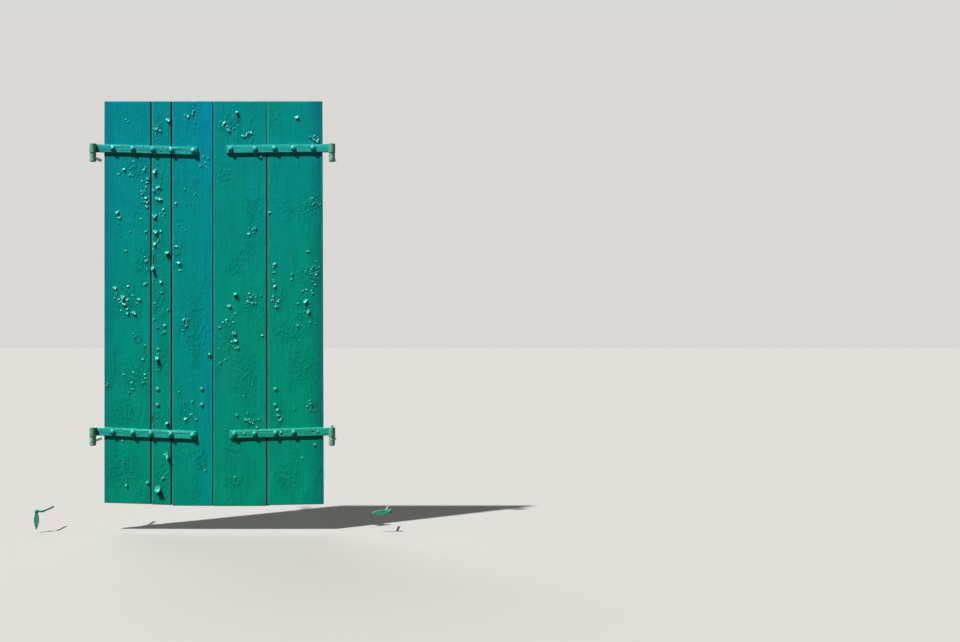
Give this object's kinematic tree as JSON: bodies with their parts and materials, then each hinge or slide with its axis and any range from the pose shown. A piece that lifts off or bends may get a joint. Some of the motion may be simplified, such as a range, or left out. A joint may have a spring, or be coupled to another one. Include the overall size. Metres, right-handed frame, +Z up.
{
  "type": "window shutters",
  "caption": "Pair of ledged plank window shutters on strap hinges and wall pintles, with an inside locking bar and wall dogs that hold the opened leaves.",
  "frame": {"origin": "centre of the four pintle tails, on the plane of the wall's face", "axes": "+X right as seen from the street, +Y into the wall, +Z up"},
  "size_m": [1.53, 0.1744, 1.8425],
  "materials": {
    "board_paint": "thick glossy teal-green oil paint on boards, wrinkled, blistered and flaking in places",
    "iron_paint": "the same paint over forged iron",
    "pintle_paint": "thin worn teal-green paint over iron, grey where it has worn",
    "bar_paint": "teal-green paint, rubbed at the edges",
    "inner_fasteners": "teal-green paint over steel nuts, washers and screws",
    "dog_paint": "worn green paint with bare dark iron at the rims"
  },
  "bodies": {
    "wall_irons": {"upper_left_pintle": "pintle_paint", "lower_left_pintle": "pintle_paint", "upper_right_pintle": "pintle_paint", "lower_right_pintle": "pintle_paint", "pintle_rings": "pintle_paint", "left_dog_shank": "dog_paint", "right_dog_shank": "dog_paint", "left_dog_rivet": "dog_paint", "right_dog_rivet": "dog_paint"},
    "left_leaf": {"left_board_1": "board_paint", "left_board_2": "board_paint", "left_board_3": "board_paint", "upper_left_strap": "iron_paint", "upper_left_ledger": "board_paint", "upper_left_strap_bolts": "iron_paint", "upper_left_strap_washers": "inner_fasteners", "upper_left_strap_nuts": "inner_fasteners", "lower_left_strap": "iron_paint", "lower_left_ledger": "board_paint", "lower_left_strap_bolts": "iron_paint", "lower_left_strap_washers": "inner_fasteners", "lower_left_strap_nuts": "inner_fasteners", "left_ledger_screws": "inner_fasteners", "left_bracket_bolts": "iron_paint", "left_bracket_nuts": "inner_fasteners", "bar_pivot_plate": "bar_paint", "bar_pivot_stud": "bar_paint", "bar_stop_pin": "bar_paint", "left_bar_hook": "bar_paint"},
    "right_leaf": {"right_board_1": "board_paint", "right_board_2": "board_paint", "upper_right_strap": "iron_paint", "upper_right_ledger": "board_paint", "upper_right_strap_bolts": "iron_paint", "upper_right_strap_washers": "inner_fasteners", "upper_right_strap_nuts": "inner_fasteners", "lower_right_strap": "iron_paint", "lower_right_ledger": "board_paint", "lower_right_strap_bolts": "iron_paint", "lower_right_strap_washers": "inner_fasteners", "lower_right_strap_nuts": "inner_fasteners", "lower_right_strap_screws": "iron_paint", "right_ledger_screws": "inner_fasteners", "right_bracket_bolts": "iron_paint", "right_bracket_nuts": "inner_fasteners", "right_bar_hook": "bar_paint"},
    "locking_bar": {"locking_bar": "bar_paint"},
    "left_catch": {"left_dog_catch": "dog_paint"},
    "right_catch": {"right_dog_catch": "dog_paint"}
  },
  "joints": [
    {"name": "left_leaf_swing", "type": "hinge", "parent": "wall_irons", "child": "left_leaf", "pos_m": [-0.515, -0.02205, 0], "axis": [0, 0, -1], "range_deg": [0, 180]},
    {"name": "right_leaf_swing", "type": "hinge", "parent": "wall_irons", "child": "right_leaf", "pos_m": [0.515, -0.02205, 0], "axis": [0, 0, 1], "range_deg": [0, 180]},
    {"name": "locking_bar_turn", "type": "hinge", "parent": "left_leaf", "child": "locking_bar", "pos_m": [-0.238, 0.038, -0.4237], "axis": [0, 1, 0], "range_deg": [0, 96]},
    {"name": "left_catch_turn", "type": "hinge", "parent": "wall_irons", "child": "left_catch", "pos_m": [-0.743, -0.069, -0.909], "axis": [0, 1, 0], "range_deg": [0, 180]},
    {"name": "right_catch_turn", "type": "hinge", "parent": "wall_irons", "child": "right_catch", "pos_m": [0.768, -0.069, -0.909], "axis": [0, 1, 0], "range_deg": [-84, 96]}
  ]
}
